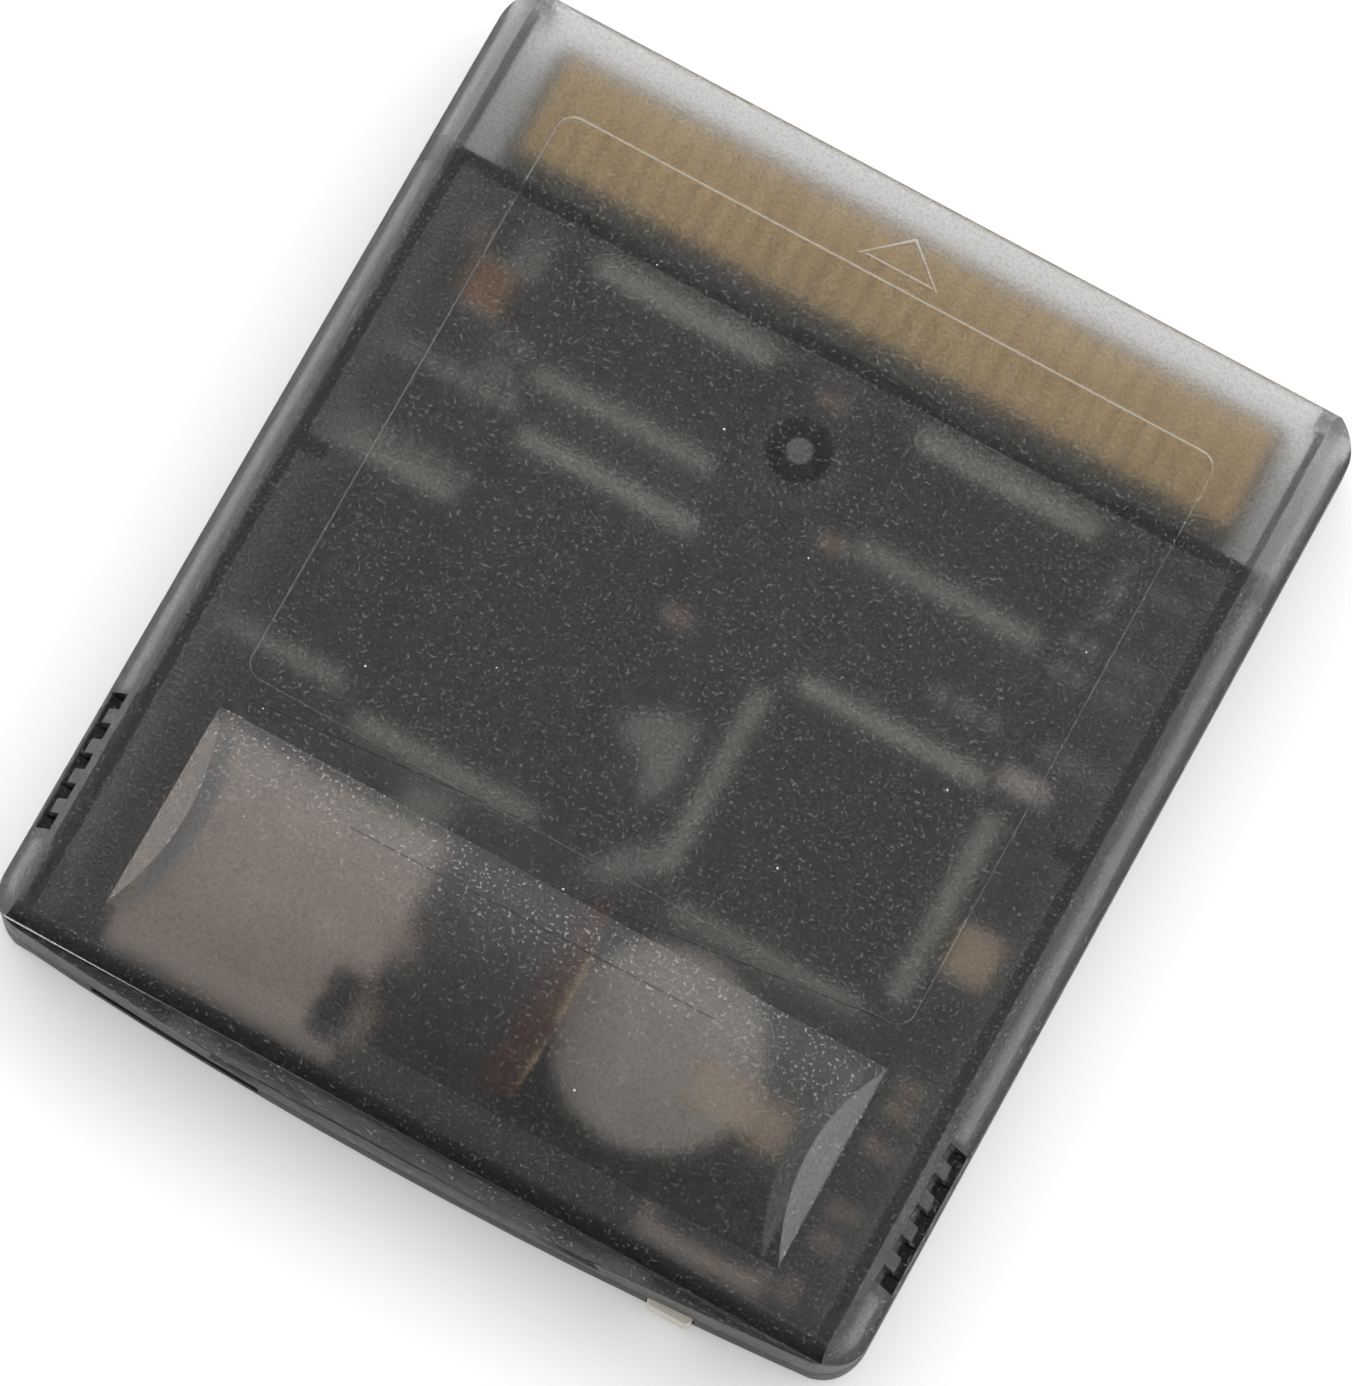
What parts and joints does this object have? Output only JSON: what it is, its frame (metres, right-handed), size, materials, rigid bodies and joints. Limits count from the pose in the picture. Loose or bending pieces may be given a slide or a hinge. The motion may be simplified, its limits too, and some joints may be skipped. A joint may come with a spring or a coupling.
{
  "type": "flash cartridge",
  "caption": "Smoked see-through handheld console cartridge with circuit board, memory chips, coin cell, memory card socket and a side-push reset button.",
  "frame": {"origin": "under the middle of the case, on its rear face", "axes": "+Z out of the front face with the label recess, +Y towards the contact end, +X to the right seen from the front"},
  "size_m": [0.057, 0.065, 0.0092],
  "materials": {
    "smoked_shell": "see-through smoke grey with a fine grain",
    "screw_steel": "zinc plated",
    "board": "dark green solder mask on glass laminate",
    "gold_plate": "thin gold plate on copper",
    "tinned_copper": "dull tin",
    "socket_plastic": "matt",
    "socket_steel": "satin sheet steel",
    "switch_plastic": "matt",
    "button_plastic": "satin cream",
    "chip_resin": "matt moulded resin",
    "tinned_leads": "tin plate",
    "cell_steel": "satin",
    "tab_nickel": "nickel strip",
    "amber_film": "amber film",
    "tantalum_resin": "orange resin",
    "ceramic": "fired ceramic"
  },
  "bodies": {
    "cartridge": {"front_shell": "smoked_shell", "rear_shell": "smoked_shell", "case_screw": "screw_steel", "circuit_board": "board", "front_contacts": "gold_plate", "rear_contacts": "gold_plate", "solder_lands": "tinned_copper", "card_socket_base": "socket_plastic", "card_socket_cover": "socket_steel", "card_socket_contacts": "gold_plate", "switch_housing": "switch_plastic", "switch_cover": "socket_steel", "bus_buffers": "chip_resin", "bus_buffer_leads": "tinned_leads", "flash_memory": "chip_resin", "flash_memory_leads": "tinned_leads", "save_memory": "chip_resin", "save_memory_leads": "tinned_leads", "clock_chip": "chip_resin", "clock_chip_leads": "tinned_leads", "logic_array": "chip_resin", "logic_array_leads": "tinned_leads", "coin_cell": "cell_steel", "cell_gasket": "switch_plastic", "cell_upper_tab": "tab_nickel", "cell_lower_tab": "tab_nickel", "cell_insulator": "amber_film", "regulator": "chip_resin", "regulator_leads": "tinned_leads", "crystal": "cell_steel", "tantalum_capacitors": "tantalum_resin", "tantalum_ends": "tinned_leads", "ceramic_capacitors": "ceramic", "ceramic_ends": "tinned_leads", "resistors": "chip_resin", "resistor_ends": "tinned_leads"},
    "button": {"reset_button": "button_plastic"}
  },
  "joints": [
    {"name": "reset_press", "type": "slide", "parent": "cartridge", "child": "button", "axis": [0, 1, 0], "range_m": [0, 0.00025], "stiffness_N_per_m": 4000, "springref_m": -0.0001}
  ]
}
